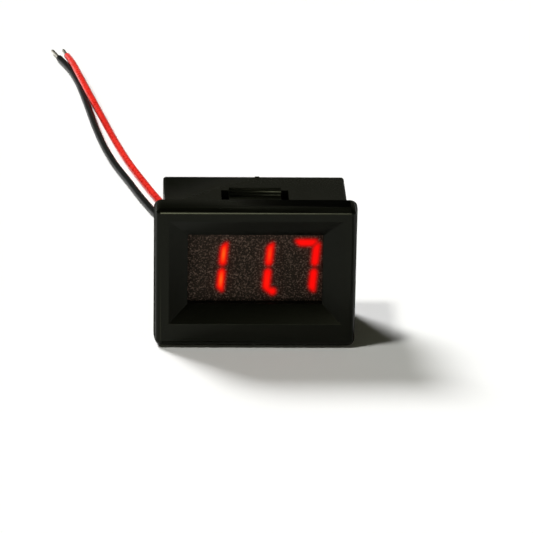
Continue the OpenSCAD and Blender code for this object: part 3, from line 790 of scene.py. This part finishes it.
chipLow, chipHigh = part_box("microcontroller")
legBoxes = sorted(low.x for low, high in solidBoxes("microcontroller_leads"))
legFacts["Pitch"] = (legBoxes[-1] - legBoxes[0]) / (legFacts["Count"] - 1)
legFacts["Side"] = (chipHigh.z - chipLow.z) / 2
chipPlace = Matrix.Translation(((chipLow.x + chipHigh.x) / 2, boardBack, (chipLow.z + chipHigh.z) / 2))
tree, sockets = legTree()
legs = bakedPiece("controllerLegs", tree, sockets, {**legFacts, "Material": materials["tinPlate"]}, chipPlace)
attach(legs, "root")
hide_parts("microcontroller_leads")

tree, sockets = capTree()
for name, node in (("segmentResistorCaps", "segment_resistors"), ("dividerResistorCaps", "divider_resistors"),
                   ("capacitorCaps", "ceramic_capacitors")):
    proud = capFacts["proud"]
    ends, sizes = [], []
    for low, high in solidBoxes(node):
        size = high - low
        wide = size.x * capFacts["share"]
        sizes.append((wide, size.y + proud, size.z + 2 * proud))
        for x in (low.x + wide / 2 - proud, high.x - wide / 2 + proud):
            ends.append((x, (low.y + high.y + proud) / 2, (low.z + high.z) / 2))
    caps = bakedPiece(name, tree, sockets, {"Size": sizes[0], "Material": materials["tinPlate"]}, spots=ends)
    soft = caps.modifiers.new("softCorners", "BEVEL")
    soft.width = capFacts["soft"]
    soft.segments = 2
    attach(caps, "root")
print("joints, legs and caps made")

# Pieces that keep their own solid and only get a finish
nodeFinishes = {
    "display_shell": "reflectorPlastic",
    "lit_segments": "glowingResin",
    "unlit_segments": "milkyResin",
    "display_base": "tanLaminate",
    "led_chips": "diceMaterial",
    "display_pins": "tinPlate",
    "circuit_board": "greenMask",
    "microcontroller": "packagePlastic",
    "voltage_regulator": "packagePlastic",
    "regulator_leads": "tinPlate",
    "protection_diode": "packagePlastic",
    "diode_leads": "tinPlate",
    "segment_resistors": "resistorGlaze",
    "divider_resistors": "resistorGlaze",
    "ceramic_capacitors": "capacitorCeramic",
    "tantalum_capacitor": "tantalumCase",
    "wire_solder": "brightSolder",
    "wire_cores": "tinnedCopper",
}
for node, finish in nodeFinishes.items():
    item = nodes[node]
    if not item.data.materials:
        item.data.materials.append(materials[finish])
    for materialSlot in item.material_slots:
        materialSlot.material = materials[finish]
print("inner pieces finished")


floorFacts = {"size": 4.0, "drop": 0.03 * mm, "white": (0.98, 0.98, 0.98), "roughness": 0.9, "gloss": 0.1}


def makeFloor(facts):
    half = facts["size"] / 2
    z = groundZ - facts["drop"]
    mesh = bpy.data.meshes.new("paleFloor")
    corners = [(-half, -half, z), (half, -half, z), (half, half, z), (-half, half, z)]
    mesh.from_pydata(corners, [], [(0, 1, 2, 3)])
    floor = bpy.data.objects.new("paleFloor", mesh)
    bpy.context.scene.collection.objects.link(floor)
    material, tree, shader = newMaterial("palePaper")
    shader.inputs["Base Color"].default_value = (*facts["white"], 1)
    shader.inputs["Roughness"].default_value = facts["roughness"]
    shader.inputs["Specular IOR Level"].default_value = facts["gloss"]
    mesh.materials.append(material)


makeFloor(floorFacts)

worldFacts = {
    "foot": (1, 1, 1), "low": (0.13, 0.13, 0.1), "high": (0.014, 0.0135, 0.008),
    "footUpTo": 0.025, "lowFrom": 0.035, "lowUpTo": 0.38, "highFrom": 0.56,
}


# A dim room around the floor: white at the horizon, grey above it and nearly black overhead
def makeWorld(facts):
    world = bpy.data.worlds.new("paleStudio")
    bpy.context.scene.world = world
    world.use_nodes = True
    tree = world.node_tree
    for n in list(tree.nodes):
        tree.nodes.remove(n)
    place = tree.nodes.new("ShaderNodeTexCoord")
    split = tree.nodes.new("ShaderNodeSeparateXYZ")
    tree.links.new(place.outputs["Generated"], split.inputs["Vector"])
    foot = spread(tree, split.outputs["Z"], 0, 1, facts["footUpTo"], facts["lowFrom"])
    overhead = spread(tree, split.outputs["Z"], 0, 1, facts["lowUpTo"], facts["highFrom"])
    backdrop = tree.nodes.new("ShaderNodeMix")
    backdrop.data_type = "RGBA"
    tree.links.new(foot, backdrop.inputs["Factor"])
    backdrop.inputs["A"].default_value = (*facts["foot"], 1)
    tree.links.new(blendColours(tree, overhead, facts["low"], facts["high"]), backdrop.inputs["B"])
    light = tree.nodes.new("ShaderNodeBackground")
    tree.links.new(backdrop.outputs["Result"], light.inputs["Color"])
    output = tree.nodes.new("ShaderNodeOutputWorld")
    tree.links.new(light.outputs["Background"], output.inputs["Surface"])


makeWorld(worldFacts)

# "gloss" off: the lamp lights without a highlight; "diffuse" off: it gives only a highlight
lampFacts = {
    "backLeft": {
        "towards": (-0.46, 0.55, 0.696), "strength": 3.05, "softness": 19, "colour": (1.0, 1.0, 1.0),
        "diffuse": True, "gloss": False,
    },
    "overhead": {
        "towards": (-0.364, -0.129, 0.922), "strength": 1.2, "softness": 7, "colour": (1.0, 1.0, 0.95),
        "diffuse": True, "gloss": False,
    },
    "lowFront": {
        "towards": (-0.12, -0.976, 0.18), "strength": 2.45, "softness": 16, "colour": (1.0, 1.0, 0.75),
        "diffuse": False, "gloss": True,
    },
}


def makeLamp(name, facts):
    data = bpy.data.lights.new(name, "SUN")
    data.energy = facts["strength"]
    data.angle = math.radians(facts["softness"])
    data.color = facts["colour"]
    lamp = bpy.data.objects.new(name, data)
    lamp.rotation_mode = "QUATERNION"
    lamp.rotation_quaternion = Vector(facts["towards"]).to_track_quat("Z", "Y")
    lamp.visible_diffuse = facts["diffuse"]
    lamp.visible_glossy = facts["gloss"]
    bpy.context.scene.collection.objects.link(lamp)


for name, facts in lampFacts.items():
    makeLamp(name, facts)

bpy.context.scene.view_settings.view_transform = "Standard"
print("light set")
